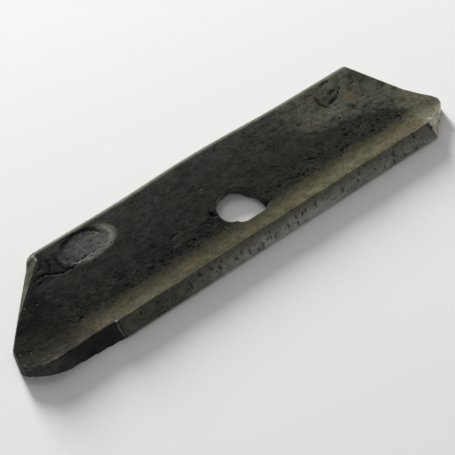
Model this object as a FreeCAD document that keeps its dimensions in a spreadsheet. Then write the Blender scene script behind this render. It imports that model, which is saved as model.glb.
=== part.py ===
"""Plough share: one hot-rolled and pressed steel blade, lying on its flat underside.

The origin is the centre of the bolt hole on the underside, +X runs along the blade
to its square end, +Y to the straight back edge and +Z up through the plate.
"""
import FreeCAD
import Part
import os

import Sketcher

doc = FreeCAD.newDocument("plough_share")

# Driving sizes in millimetres, measured from the bolt hole unless they say otherwise
SIZES = (
    ("web_thickness", 4.2, "thickness of the flat web"),
    ("crest_height", 6.4, "height of the thick rim above the underside"),
    ("back_edge", 39.5, "hole centre to the back edge"),
    ("front_edge", 24.2, "hole centre to the cutting edge"),
    ("rise_width", 13.1, "width of the hollow rise from the web to the crest"),
    ("bevel_width", 6.3, "width of the bevel from the crest to the cutting edge"),
    ("edge_land", 0.8, "blunt height left at the cutting edge"),
    ("bevel_to_toe", 89.2, "hole centre to the bevel's end on the toe side"),
    ("bevel_to_heel", 109.7, "hole centre to the bevel's end on the heel side"),
    ("toe_reach", 138.3, "hole centre to the tip of the toe"),
    ("back_left", 96.0, "hole centre to the back corner on the toe side"),
    ("back_right", 103.9, "hole centre to the back corner on the heel side"),
    ("back_edge_radius", 2.5, "rounding along the top of the back edge"),
    ("spread_height", 1.5, "how far the back edge is pushed out behind the hole"),
    ("spread_length", 60.0, "half the length of the pushed-out stretch"),
    ("spread_shift", 4.0, "middle of the pushed-out stretch, towards the heel"),
    ("heel_knee_along", 116.5, "hole centre to the heel's knee, along the blade"),
    ("heel_knee_across", 8.0, "hole centre to the heel's knee, across the blade"),
    ("heel_reach", 122.8, "hole centre to the back end of the heel's nose"),
    ("nose_back", 2.2, "back end of the nose, in front of the hole centre"),
    ("nose_lean", 1.9, "how much further the nose's front end reaches"),
    ("nose_length", 9.9, "length of the heel's rounded nose, across the blade"),
    ("nose_radius", 8.0, "radius of the heel's rounded nose"),
    ("corner_bevel_along", 2.2, "run of the bevel at the nose's front end, along the blade"),
    ("corner_bevel_across", 2.6, "run of the bevel at the nose's front end, across the blade"),
    ("mitre_shift", 2.3, "how far the mitre of the two bevels leans back"),
    ("scoop_run", 5.0, "length over which the toe's cut deepens past the bevel"),
    ("scoop_rise", 1.3, "how far the toe's cut eats into the crest there"),
    ("scoop_lift", 0.55, "how far the edge has turned away at the scoop's end, on the underside"),
    ("toe_lift", 2.2, "how far the toe's edge has turned away from the cutting edge"),
    ("toe_turn", 17.8, "tip to the start of the toe's curve, on the underside"),
    ("toe_turn_radius", 34.0, "radius of the toe's curve on the underside"),
    ("tip_turn", 2.0, "tip to the start of its rounding, along the blade"),
    ("tip_low", 10.1, "cutting edge to the start of the tip's rounding"),
    ("tip_rise", 3.6, "height of the tip's rounding, across the blade"),
    ("tip_radius", 4.5, "radius of the tip's rounding"),
    ("toe_side", 5.7, "how far the toe's side leans back over its length"),
    ("toe_side_length", 16.4, "length of the toe's side, across the blade"),
    ("crest_turn", 13.8, "tip to the start of the toe's curve at crest height"),
    ("crest_turn_radius", 20.0, "radius of the toe's curve at crest height"),
    ("crest_tip_turn", 3.0, "tip to the start of its rounding at crest height"),
    ("crest_tip_low", 11.3, "cutting edge to the tip's rounding at crest height"),
    ("crest_tip_rise", 4.4, "height of the tip's rounding at crest height"),
    ("crest_tip_radius", 6.0, "radius of the tip's rounding at crest height"),
    ("crop_across", 0.2, "hole centre to the lower end of the toe's crop line"),
    ("crop_along", 3.8, "tip to the lower end of the toe's crop line"),
    ("crop_bevel_back", 7.9, "width of the crop's bevel along the back edge"),
    ("crop_bevel_end", 7.8, "back of the hole centre, where the crop's bevel runs out"),
    ("crop_bevel_slope", 4.7, "run of the crop's bevel for the web's thickness"),
    ("hole_radius", 11.4, "radius of the bolt hole"),
    ("hole_flat", 8.4, "hole centre to the flat on its front side"),
    ("hole_rim_radius", 0.6, "rounding of the hole's upper rim"),
    ("seat_length", 31.0, "length of the pressed seat on the toe side"),
    ("seat_width", 16.0, "width of the pressed seat on the toe side"),
    ("seat_depth", 0.9, "depth of the pressed seat on the toe side"),
    ("seat_along", 72.5, "hole centre to the toe side's seat, along the blade"),
    ("seat_across", 27.5, "hole centre to the toe side's seat, across the blade"),
    ("mark_length", 34.0, "length of the fainter seat on the heel side"),
    ("mark_width", 20.0, "width of the fainter seat on the heel side"),
    ("mark_depth", 0.45, "depth of the fainter seat on the heel side"),
    ("mark_along", 76.0, "hole centre to the heel side's seat, along the blade"),
    ("mark_across", 25.5, "hole centre to the heel side's seat, across the blade"),
    ("cut_margin", 12.0, "how far the cutting shapes reach past the steel"),
)

# Closeness at which two points are one, and the least change a cut has to make
SAME_SPOT = 1e-3
LEAST_CUT = 1e-3

sheet = doc.addObject("Spreadsheet::Sheet", "sizes")
for row, (alias, value, meaning) in enumerate(SIZES, start=1):
    sheet.set("A%d" % row, alias)
    sheet.set("B%d" % row, str(value))
    sheet.set("C%d" % row, meaning)
    sheet.setAlias("B%d" % row, alias)
doc.recompute()

blade = doc.addObject("PartDesign::Body", "share")
blade.Label = "share"
blade.Placement = FreeCAD.Placement()


def bound(formula):
    """The formula with each of its names looked up in the sheet."""
    words = formula.replace("(", " ( ").replace(")", " ) ").split()
    aliases = {alias for alias, _, _ in SIZES}
    return " ".join("sizes." + word if word in aliases else word for word in words)


def amount(formula):
    """Value of a formula in the sheet's names, to place a shape before it is bound."""
    return float(blade.evalExpression(bound(formula)))


def origin_plane(role):
    """One of the body's own origin planes, found by its role."""
    return next(item for item in blade.Origin.OriginFeatures if item.Role == role)


def new_sketch(name, plane, lift="0"):
    """A sketch on an origin plane, lifted off it along its normal."""
    sketch = blade.newObject("Sketcher::SketchObject", name)
    sketch.AttachmentSupport = [(origin_plane(plane), "")]
    sketch.MapMode = "FlatFace"
    sketch.setExpression("AttachmentOffset.Base.z", bound(lift))
    return sketch


def pin_point(sketch, edge, end, across, up):
    """Fix one end of an edge at the two formulas."""
    for kind, formula in (("DistanceX", across), ("DistanceY", up)):
        number = sketch.addConstraint(Sketcher.Constraint(kind, -1, 1, edge, end, amount(formula)))
        sketch.setExpression("Constraints[%d]" % number, bound(formula))


def near_end(sketch, edge, spot):
    """Which end of an edge lies at the spot: 1 for its start, 2 for its finish."""
    return 1 if (sketch.getPoint(edge, 1) - spot).Length < SAME_SPOT else 2


def draw_loop(sketch, corners):
    """Draw a closed outline of lines and arcs.

    Each corner is (across, up) or (across, up, radius): with a radius, the edge that
    leaves the corner is an arc, which bulges to the right of its way where the radius
    is positive and to the left where its formula starts with a minus sign.
    """
    spots = [FreeCAD.Vector(amount(corner[0]), amount(corner[1]), 0) for corner in corners]
    for number, corner in enumerate(corners):
        here = spots[number]
        there = spots[(number + 1) % len(spots)]
        if len(corner) == 2:
            edge = sketch.addGeometry(Part.LineSegment(here, there), False)
            pin_point(sketch, edge, 1, corner[0], corner[1])
            continue
        radius = amount(corner[2].lstrip("-"))
        side = -1 if corner[2].startswith("-") else 1
        chord = there - here
        outward = FreeCAD.Vector(chord.y, -chord.x, 0).normalize() * side
        rise = radius - (radius ** 2 - (chord.Length / 2) ** 2) ** 0.5
        crown = (here + there) * 0.5 + outward * rise
        edge = sketch.addGeometry(Part.Arc(here, crown, there), False)
        pin_point(sketch, edge, near_end(sketch, edge, here), corner[0], corner[1])
        number = sketch.addConstraint(Sketcher.Constraint("Radius", edge, radius))
        sketch.setExpression("Constraints[%d]" % number, bound(corner[2].lstrip("-")))
    count = len(corners)
    for edge in range(count):
        following = (edge + 1) % count
        end = near_end(sketch, edge, spots[following])
        start = near_end(sketch, following, spots[following])
        sketch.addConstraint(Sketcher.Constraint("Coincident", edge, end, following, start))
    doc.recompute()


def shape_from(kind, name, sketch, **settings):
    """A feature of the body made from one sketch."""
    feature = blade.newObject("PartDesign::" + kind, name)
    feature.Profile = sketch
    for setting, value in settings.items():
        setattr(feature, setting, value)
    sketch.Visibility = False
    doc.recompute()
    return feature


def check_cut(feature, before):
    """Volume left by a feature, which stops the model if it took nothing away."""
    after = feature.Shape.Volume
    if before - after < LEAST_CUT:
        raise RuntimeError("%s took away %.3f mm3" % (feature.Name, before - after))
    return after


def edges_where(shape, wanted):
    """Names of the edges whose middle passes the test."""
    names = []
    for number, edge in enumerate(shape.Edges, start=1):
        middle = edge.valueAt((edge.FirstParameter + edge.LastParameter) / 2)
        if wanted(middle):
            names.append("Edge%d" % number)
    return names


def round_edges(name, base, names, radius):
    """Fillet the named edges of the last feature."""
    fillet = blade.newObject("PartDesign::Fillet", name)
    fillet.Base = (base, names)
    fillet.setExpression("Radius", bound(radius))
    doc.recompute()
    return fillet


# Blank: the plan outline, sharp at the toe, as thick as the crest
plan = new_sketch("plan_outline", "XY_Plane")
spread_arc = "( spread_length * spread_length + spread_height * spread_height ) / ( 4 * spread_height )"
crop_slope = "( back_left - toe_reach + crop_along ) / ( back_edge - crop_across )"
blank_corner = "( back_left - %s * ( back_edge + front_edge ) )" % crop_slope
nose_front_along = "heel_reach + nose_lean"
nose_front_across = "-1 * nose_back - nose_length"
draw_loop(plan, (
    ("-1 * " + blank_corner, "-1 * front_edge"),
    ("bevel_to_heel", "-1 * front_edge"),
    (nose_front_along, nose_front_across, "nose_radius"),
    ("heel_reach", "-1 * nose_back"),
    ("heel_knee_along", "heel_knee_across"),
    ("back_right", "back_edge"),
    ("spread_shift + spread_length", "back_edge", "-" + spread_arc),
    ("spread_shift + spread_length / 2", "back_edge + spread_height / 2", spread_arc),
    ("spread_shift - spread_length / 2", "back_edge + spread_height / 2", "-" + spread_arc),
    ("spread_shift - spread_length", "back_edge"),
    ("-1 * back_left", "back_edge"),
))
blank = shape_from("Pad", "blank", plan)
blank.setExpression("Length", bound("crest_height"))
doc.recompute()
volume = blank.Shape.Volume

# Rolled top: flat web, hollow rise up to the crest
rolled = new_sketch("rolled_section", "YZ_Plane")
crest_line = "-1 * front_edge + bevel_width"
rise_height = "( crest_height - web_thickness )"
draw_loop(rolled, (
    ("back_edge + cut_margin", "web_thickness"),
    ("back_edge + cut_margin", "crest_height + cut_margin"),
    (crest_line, "crest_height + cut_margin"),
    (crest_line, "crest_height",
     "( rise_width * rise_width + %s * %s ) / ( 2 * %s )" % (rise_height, rise_height, rise_height)),
    (crest_line + " + rise_width", "web_thickness"),
))
hollow = shape_from("Pocket", "rolled_top", rolled, Type="ThroughAll", Midplane=True)
volume = check_cut(hollow, volume)

# Bevel along the cutting edge, from the heel to where the toe's own cut starts
bevel_section = new_sketch("bevel_section", "YZ_Plane", "heel_reach + cut_margin")
draw_loop(bevel_section, (
    (crest_line, "crest_height"),
    (crest_line, "crest_height + cut_margin"),
    ("-1 * front_edge - cut_margin", "crest_height + cut_margin"),
    ("-1 * front_edge - cut_margin", "edge_land"),
    ("-1 * front_edge", "edge_land"),
))
bevel = shape_from("Pocket", "edge_bevel", bevel_section, Type="Length")
bevel.setExpression("Length", bound("heel_reach + cut_margin + bevel_to_toe"))
doc.recompute()
volume = check_cut(bevel, volume)


def toe_loop(start_up, scoop_up, turn, turn_up, turn_radius, low_along, low, rise, radius):
    """Outline of the steel that is cut off round the toe, at one height."""
    top = "-1 * front_edge + tip_low + tip_rise + toe_side_length"
    outside = "-1 * %s - cut_margin" % blank_corner
    return (
        ("-1 * bevel_to_toe", start_up),
        ("-1 * bevel_to_toe - scoop_run", scoop_up),
        ("-1 * toe_reach + " + turn, turn_up, "-" + turn_radius),
        ("-1 * toe_reach + " + low_along, "-1 * front_edge + " + low, "-" + radius),
        ("-1 * toe_reach", "-1 * front_edge + %s + %s" % (low, rise)),
        ("-1 * toe_reach + toe_side", top),
        (outside, top),
        (outside, "-1 * front_edge - cut_margin"),
        ("-1 * bevel_to_toe", "-1 * front_edge - cut_margin"),
    )


# Toe: a ruled cut that starts like the bevel and stands up steeper round the tip
toe_low = new_sketch("toe_at_underside", "XY_Plane")
draw_loop(toe_low, toe_loop("-1 * front_edge", "-1 * front_edge + scoop_lift",
                            "toe_turn", "-1 * front_edge + toe_lift", "toe_turn_radius",
                            "tip_turn", "tip_low", "tip_rise", "tip_radius"))
toe_high = new_sketch("toe_at_crest", "XY_Plane", "crest_height")
draw_loop(toe_high, toe_loop(crest_line, crest_line + " + scoop_rise",
                             "crest_turn", crest_line, "crest_turn_radius",
                             "crest_tip_turn", "crest_tip_low", "crest_tip_rise", "crest_tip_radius"))
toe_cut = shape_from("SubtractiveLoft", "toe_cut", toe_low, Sections=[toe_high], Ruled=True)
volume = check_cut(toe_cut, volume)


def heel_loop(start, start_up, nose, nose_up):
    """Outline of the steel that is cut off the heel's front corner, at one height."""
    return (
        (start, start_up),
        (nose, nose_up, "nose_radius"),
        ("heel_reach", "-1 * nose_back"),
        ("heel_reach + cut_margin", "-1 * nose_back"),
        ("heel_reach + cut_margin", "-1 * front_edge - cut_margin"),
        (start, "-1 * front_edge - cut_margin"),
    )


# Heel: a ruled cut that carries the bevel round the front corner and out at the nose
heel_low = new_sketch("heel_at_underside", "XY_Plane")
draw_loop(heel_low, heel_loop("bevel_to_heel", "-1 * front_edge", nose_front_along, nose_front_across))
heel_high = new_sketch("heel_at_crest", "XY_Plane", "crest_height")
draw_loop(heel_high, heel_loop("bevel_to_heel - mitre_shift", crest_line,
                               nose_front_along + " - corner_bevel_along",
                               nose_front_across + " + corner_bevel_across"))
heel_cut = shape_from("SubtractiveLoft", "heel_cut", heel_low, Sections=[heel_high], Ruled=True)
volume = check_cut(heel_cut, volume)


def on_back_edge(spot):
    """Whether a spot lies on the upper edge of the back."""
    on_top = abs(spot.z - amount("web_thickness")) < SAME_SPOT
    return on_top and spot.y > amount("back_edge") - SAME_SPOT


# Rounded top of the back edge
back_edges = edges_where(heel_cut.Shape, on_back_edge)
back_round = round_edges("back_round", heel_cut, back_edges, "back_edge_radius")
volume = check_cut(back_round, volume)

# Bevel on the cropped end, widest at the back corner and gone before the toe
top_slope = "( back_left - crop_bevel_back - %s ) / ( back_edge - crop_bevel_end )"
end_along = "( back_left - %s * ( back_edge - crop_bevel_end ) )" % crop_slope
crop_run = top_slope % end_along


def crop_loop(shift):
    """Outline of the steel that the crop's bevel takes off, moved outwards by the shift."""
    lean = "( 1 + %s * %s ) ^ 0.5" % (crop_run, crop_run)
    out = " - %s * %s" % (shift, lean)
    top = "-1 * back_left + crop_bevel_back - %s * cut_margin" % crop_run
    low = "-1 * %s + %s * cut_margin" % (end_along, crop_run)
    outside = "-1 * %s - cut_margin" % blank_corner
    return (
        (top + out, "back_edge + cut_margin"),
        (outside, "back_edge + cut_margin"),
        (outside, "crop_bevel_end - cut_margin"),
        (low + out, "crop_bevel_end - cut_margin"),
    )


crop_high = new_sketch("crop_at_web", "XY_Plane", "web_thickness")
draw_loop(crop_high, crop_loop("0"))
crop_low = new_sketch("crop_at_underside", "XY_Plane")
draw_loop(crop_low, crop_loop("crop_bevel_slope"))
crop = shape_from("SubtractiveLoft", "crop_bevel", crop_high, Sections=[crop_low], Ruled=True)
volume = check_cut(crop, volume)

# Bolt hole, round with a flat towards the cutting edge
hole_sketch = new_sketch("hole_outline", "XY_Plane")
half_flat = "( hole_radius * hole_radius - hole_flat * hole_flat ) ^ 0.5"
draw_loop(hole_sketch, (
    ("-1 * " + half_flat, "-1 * hole_flat"),
    (half_flat, "-1 * hole_flat", "hole_radius"),
    ("0", "hole_radius", "hole_radius"),
))
hole = shape_from("Pocket", "bolt_hole", hole_sketch, Type="ThroughAll", Midplane=True)
volume = check_cut(hole, volume)


def on_hole_rim(spot):
    """Whether a spot lies on the upper rim of the bolt hole."""
    near_hole = FreeCAD.Vector(spot.x, spot.y, 0).Length < amount("hole_radius") + SAME_SPOT
    return near_hole and spot.z > amount("web_thickness") - SAME_SPOT


hole_rim = round_edges("hole_rim", hole, edges_where(hole.Shape, on_hole_rim), "hole_rim_radius")
volume = check_cut(hole_rim, volume)


def press_seat(name, before, along, across, length, width, depth):
    """Press a shallow oval seat into the web, hollow both ways."""
    sketch = new_sketch(name + "_profile", "XZ_Plane", "-1 * %s" % across)
    long_radius = "( %s * %s / 4 + %s * %s ) / ( 2 * %s )" % (length, length, depth, depth, depth)
    cross_radius = "( %s * %s / 4 + %s * %s ) / ( 2 * %s )" % (width, width, depth, depth, depth)
    draw_loop(sketch, (
        ("%s - %s / 2" % (along, length), "web_thickness", long_radius),
        ("%s + %s / 2" % (along, length), "web_thickness"),
        ("%s + %s / 2" % (along, length), "web_thickness + %s" % depth),
        ("%s - %s / 2" % (along, length), "web_thickness + %s" % depth),
    ))
    axle_height = "web_thickness - %s + %s" % (depth, cross_radius)
    ends = ("%s - %s / 2" % (along, length), "%s + %s / 2" % (along, length))
    spots = [FreeCAD.Vector(amount(end), amount(axle_height), 0) for end in ends]
    axle = sketch.addGeometry(Part.LineSegment(*spots), True)
    pin_point(sketch, axle, 1, ends[0], axle_height)
    pin_point(sketch, axle, 2, ends[1], axle_height)
    seat = shape_from("Groove", name, sketch, ReferenceAxis=(sketch, ["Axis0"]), Angle=360)
    return check_cut(seat, before)


# Two pressed seats near the back edge, one on each side of the hole
volume = press_seat("toe_seat", volume, "-1 * seat_along", "seat_across",
                    "seat_length", "seat_width", "seat_depth")
volume = press_seat("heel_seat", volume, "mark_along", "mark_across",
                    "mark_length", "mark_width", "mark_depth")

doc.recompute()
for item in doc.Objects:
    if "Invalid" in item.State or "Error" in item.State:
        raise RuntimeError("%s failed: %s" % (item.Name, item.State))
if blade.Shape.isNull() or not blade.Shape.isValid() or len(blade.Shape.Solids) != 1:
    raise RuntimeError("the share isn't one valid solid")

os.makedirs("parts", exist_ok=True)
blade.Shape.exportStep("parts/%s.step" % blade.Label)
print(blade.Label, "volume %.0f mm3" % blade.Shape.Volume, "box", blade.Shape.BoundBox)
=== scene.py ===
import math
import random

import bmesh
import bpy
import numpy as np
from mathutils import Matrix, Quaternion, Vector, noise


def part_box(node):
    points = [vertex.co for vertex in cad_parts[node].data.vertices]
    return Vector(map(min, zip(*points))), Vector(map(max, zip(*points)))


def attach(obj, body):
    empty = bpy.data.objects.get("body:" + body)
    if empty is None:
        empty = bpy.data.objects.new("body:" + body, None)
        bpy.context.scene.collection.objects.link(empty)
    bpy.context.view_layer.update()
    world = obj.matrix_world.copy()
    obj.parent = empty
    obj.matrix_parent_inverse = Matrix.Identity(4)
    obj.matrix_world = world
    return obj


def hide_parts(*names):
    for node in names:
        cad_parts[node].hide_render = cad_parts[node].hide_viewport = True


# Looks of a hot-rolled plough share. Lengths are millimetres here, and the meshes metres
MM = 0.001

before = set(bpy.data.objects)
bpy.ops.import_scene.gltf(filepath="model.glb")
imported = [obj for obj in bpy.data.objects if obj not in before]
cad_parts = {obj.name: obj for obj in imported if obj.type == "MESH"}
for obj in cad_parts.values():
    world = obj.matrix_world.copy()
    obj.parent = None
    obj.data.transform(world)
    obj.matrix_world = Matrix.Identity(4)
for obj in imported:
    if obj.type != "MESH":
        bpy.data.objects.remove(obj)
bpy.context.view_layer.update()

# The blade's own section and ends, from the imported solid's box
low, high = (Vector(corner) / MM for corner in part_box("share"))
SPREAD = 1.5
TOE = low.x
HEEL = high.x
FRONT = low.y
BACK = high.y - SPREAD
CREST_TOP = high.z
WEB_TOP = 4.2
CREST = FRONT + 6.3
RISE_FOOT = CREST + 13.1
EDGE_LAND = 0.8
BEVEL_RUN = CREST - FRONT
BEVEL_RISE = CREST_TOP - EDGE_LAND
BEVEL_SLOPE = math.hypot(BEVEL_RUN, BEVEL_RISE)
BEVEL_END = -89.2
HOLE_RADIUS = 11.4

# How near two points are one, the even mesh of the worked skin, how its corners are softened,
# and how much of it stays once the flat underside is thinned
SAME_SPOT = 0.001
SKIN_VOXEL = 0.45
SOFTENED_SHARE = 0.5
SOFTENED_TIMES = 2
SKIN_KEPT = 0.57

# Lumps of the two noises that let the marks' outlines wander, and how far a seed shifts a noise
WOBBLE_SIZE = 3.2
RAGGED_SIZE = 1.3
SEED_SHIFT = (17.3, 5.1, 9.7)


def smooth_step(value, start, end):
    """0 before start, 1 after end and a soft change between, for arrays too."""
    share = np.clip((value - start) / (end - start), 0.0, 1.0)
    return share * share * (3 - 2 * share)


def noise_over(points, size, seed, octaves=3):
    """Soft noise of about -1 to 1 at each point, with lumps of the given size."""
    shift = Vector([seed * part for part in SEED_SHIFT])
    scaled = points / size
    return np.array([noise.fractal(Vector(p) + shift, 0.9, 2.1, octaves) for p in scaled])


# The blade's skin

class Skin:
    """The blade's evenly meshed surface, to be worked over in millimetres.

    Height is how far each vertex is moved along its normal. Marks are shares of 0 to 1
    that the finish reads: they are kept on the mesh under their own names.
    """

    def __init__(self, piece):
        self.mesh = piece.data
        count = len(self.mesh.vertices)
        places = np.empty(count * 3)
        normals = np.empty(count * 3)
        self.mesh.vertices.foreach_get("co", places)
        self.mesh.vertex_normals.foreach_get("vector", normals)
        self.points = places.reshape(-1, 3) / MM
        self.normals = normals.reshape(-1, 3)
        self.height = np.zeros(count)
        self.marks = {}
        self.wobble = noise_over(self.points, WOBBLE_SIZE, seed=1, octaves=2)
        self.ragged = noise_over(self.points, RAGGED_SIZE, seed=2, octaves=2)

    @property
    def x(self):
        return self.points[:, 0]

    @property
    def y(self):
        return self.points[:, 1]

    @property
    def z(self):
        return self.points[:, 2]

    def mark(self, name, share):
        """Keep the larger of a mark's old and new share at each vertex."""
        old = self.marks.get(name)
        share = np.clip(share, 0.0, 1.0)
        self.marks[name] = share if old is None else np.maximum(old, share)

    def top(self):
        """Share of each vertex that belongs to the upper face: web, rise and crest."""
        return smooth_step(self.normals[:, 2], 0.84, 0.92)

    def across(self, x, y, length, width, turn):
        """Squared distance from a spot, in half lengths and half widths of an oval."""
        angle = math.radians(turn)
        along = (self.x - x) * math.cos(angle) + (self.y - y) * math.sin(angle)
        aside = (self.y - y) * math.cos(angle) - (self.x - x) * math.sin(angle)
        return (along / length) ** 2 + (aside / width) ** 2

    def pit(self, x, y, size, depth, stretch=1.0, turn=0.0, dark=0.8, where=None):
        """A pit, or a lump where the depth is negative, seen from above."""
        reach = self.across(x, y, size * stretch, size, turn) * (1 + 0.9 * self.ragged)
        hollow = np.clip(1 - reach, 0, 1) ** 1.2
        if where is not None:
            hollow = hollow * where
        self.height -= depth * hollow
        if dark:
            self.mark("dark", dark * np.clip(hollow * 1.4, 0, 1))

    def distance_to(self, path):
        """Distance of each vertex from a line of points seen from above, and its share along it."""
        best = np.full(len(self.x), 1e9)
        share = np.zeros(len(self.x))
        for number, ((x0, y0), (x1, y1)) in enumerate(zip(path, path[1:])):
            length2 = (x1 - x0) ** 2 + (y1 - y0) ** 2
            t = np.clip(((self.x - x0) * (x1 - x0) + (self.y - y0) * (y1 - y0)) / length2, 0, 1)
            gap = np.hypot(self.x - x0 - t * (x1 - x0), self.y - y0 - t * (y1 - y0))
            nearer = gap < best
            best = np.where(nearer, gap, best)
            share = np.where(nearer, (number + t) / (len(path) - 1), share)
        return best, share

    def crack(self, path, width, depth, dark=1.0, taper=True, where=None):
        """A crack along a line of points, dark inside, that thins out at both ends."""
        where = self.top() if where is None else where
        gap, share = self.distance_to(path)
        gap = np.abs(gap + 0.5 * width * (self.wobble + self.ragged))
        body = np.sin(np.clip(share, 0.04, 0.96) * math.pi) ** 0.5 if taper else 1.0
        hollow = np.exp(-(gap / (width * body)) ** 2) * where
        self.height -= depth * body * hollow
        if dark:
            self.mark("dark", dark * hollow)

    def cracks(self, table, where=None):
        """Cracks of a table: width, depth and darkness, then the points of the line."""
        for width, depth, dark, *path in table:
            self.crack(path, width, depth, dark, where=where)

    def ridge(self, path, width, height, mark=None, share=1.0, broken=0.0):
        """A raised line along a line of points, such as a burr, that may come and go."""
        gap, _ = self.distance_to(path)
        raised = np.exp(-((gap + 0.4 * width * self.wobble) / width) ** 2) * (self.z > 0.6)
        raised = raised * (1 - broken * smooth_step(self.ragged, -0.2, 0.25))
        self.height += height * raised
        if mark:
            self.mark(mark, share * raised)

    def keep(self):
        """Move the vertices by their heights and store the marks on the mesh."""
        moved = self.points + self.normals * self.height[:, None]
        moved[:, 2] = np.maximum(moved[:, 2], 0.0)
        self.mesh.vertices.foreach_set("co", (moved * MM).ravel())
        for name, share in self.marks.items():
            layer = self.mesh.attributes.new(name, "FLOAT", "POINT")
            layer.data.foreach_set("value", share.astype(np.float32))
        self.mesh.update()


def even_skin(node):
    """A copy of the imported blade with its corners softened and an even, fine mesh."""
    shape = bmesh.new()
    shape.from_mesh(node.data)
    bmesh.ops.remove_doubles(shape, verts=shape.verts, dist=SAME_SPOT * MM)
    mesh = bpy.data.meshes.new("forged_share")
    shape.to_mesh(mesh)
    shape.free()
    piece = bpy.data.objects.new("forged_share", mesh)
    bpy.context.scene.collection.objects.link(piece)
    remesh = piece.modifiers.new("even_mesh", "REMESH")
    remesh.mode = "VOXEL"
    remesh.voxel_size = SKIN_VOXEL * MM
    remesh.use_smooth_shade = True
    soften = piece.modifiers.new("soften", "SMOOTH")
    soften.factor = SOFTENED_SHARE
    soften.iterations = SOFTENED_TIMES
    settle_modifiers(piece)
    return piece


def settle_modifiers(piece):
    """Make the result of a piece's modifiers its own mesh."""
    bpy.context.view_layer.update()
    shaped = piece.evaluated_get(bpy.context.evaluated_depsgraph_get())
    mesh = bpy.data.meshes.new_from_object(shaped)
    piece.modifiers.clear()
    piece.data = mesh


def thin_underside(piece):
    """Use fewer faces on the flat underside, where nothing is worked."""
    group = piece.vertex_groups.new(name="underside")
    flat = [v.index for v in piece.data.vertices if v.co.z < 0.02 * MM and v.normal.z < -0.99]
    group.add(flat, 1.0, "REPLACE")
    thin = piece.modifiers.new("thin_underside", "DECIMATE")
    thin.ratio = SKIN_KEPT
    thin.vertex_group = group.name
    settle_modifiers(piece)


def sort_walls(skin):
    """Tell the blade's walls apart by where they face, for the finish."""
    nx, ny, nz = skin.normals.T
    wall = 1 - skin.top()
    below = smooth_step(nz, -0.5, -0.9)
    at_hole = smooth_step(np.hypot(skin.x, skin.y), HOLE_RADIUS + 1.2, HOLE_RADIUS + 0.3)
    front = smooth_step(-ny, 0.25, 0.45) * (1 - at_hole)
    toe_side = smooth_step(skin.x, BEVEL_END + 0.4, BEVEL_END - 0.9)
    skin.mark("bevel", wall * front * (1 - toe_side))
    skin.mark("toe_cut", wall * toe_side * smooth_step(skin.y, 8.0, 2.0) * (1 - below))
    cropped = wall * smooth_step(-nx, 0.2, 0.36) * smooth_step(skin.y, 5.0, 9.0) * (1 - at_hole)
    skin.mark("cropped", cropped)
    skin.mark("back", wall * smooth_step(ny, 0.25, 0.5) * (1 - at_hole) * (1 - cropped))
    skin.mark("heel_end", wall * smooth_step(nx, 0.4, 0.6) * smooth_step(skin.x, 95.0, 100.0))
    skin.mark("bore", wall * at_hole * (1 - below))
    skin.mark("underside", below)
    at_rim = smooth_step(np.hypot(skin.x, skin.y), HOLE_RADIUS + 1.6, HOLE_RADIUS + 0.7)
    skin.mark("rough", np.maximum(at_rim, skin.marks["cropped"]))


# Pits seen on the upper face: along the blade, across it, size and depth
STRIP_PITS = (
    (23.3, -1.6, 1.3, 0.45), (31.0, -1.9, 0.9, 0.3), (36.2, -2.0, 1.0, 0.35),
    (37.6, -3.4, 1.3, 0.35), (41.4, -2.2, 0.9, 0.3), (40.6, 4.2, 0.7, 0.3),
    (44.3, 6.2, 0.8, 0.3), (36.4, 2.4, 0.7, 0.25), (54.0, 0.1, 0.8, 0.4),
    (57.8, 5.4, 0.7, 0.25), (62.2, -0.4, 1.1, 0.35), (63.2, -3.4, 1.4, 0.35),
    (66.5, -2.6, 0.8, 0.3), (71.4, 2.9, 1.3, 0.4), (73.6, 5.8, 0.8, 0.3),
    (80.6, 3.0, 1.1, 0.4), (84.5, -3.6, 1.2, 0.3), (86.5, -1.0, 1.0, 0.35),
    (91.4, 0.3, 1.0, 0.45), (88.0, -4.9, 1.1, 0.3), (97.0, -3.0, 1.0, 0.3),
    (101.4, -4.0, 1.2, 0.4), (15.3, 8.5, 0.8, 0.25), (20.6, 20.0, 0.8, 0.25),
    (-50.6, -2.7, 1.4, 0.45), (-51.2, -5.0, 1.0, 0.3), (-49.0, -5.8, 0.9, 0.25),
    (-56.6, -3.0, 1.4, 0.35), (-59.8, -5.0, 1.0, 0.3), (-71.2, 1.5, 0.9, 0.3),
    (-72.5, -4.3, 1.2, 0.35), (-76.5, -4.8, 0.8, 0.35), (-91.8, -6.2, 0.9, 0.4),
    (-100.2, -5.3, 1.2, 0.45), (-102.2, -5.9, 0.7, 0.3), (-83.4, -7.2, 0.8, 0.25),
    (-102.3, 21.6, 0.9, 0.35), (-43.5, -0.8, 1.2, 0.3), (-30.6, -1.9, 1.2, 0.4),
    (-27.2, -2.4, 0.9, 0.35), (-35.0, -3.6, 1.1, 0.3), (-19.8, 2.4, 0.8, 0.3),
    (-16.8, 3.4, 0.9, 0.4), (-28.8, 11.3, 0.8, 0.3), (-25.6, 13.9, 0.6, 0.2),
    (-34.6, 5.8, 0.8, 0.35), (-22.5, -3.6, 0.9, 0.3), (-103.6, 5.6, 0.6, 0.2),
    (-31.9, -6.4, 0.7, 0.2), (-38.0, -8.9, 0.7, 0.2), (-40.0, -7.6, 0.6, 0.2),
)
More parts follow.
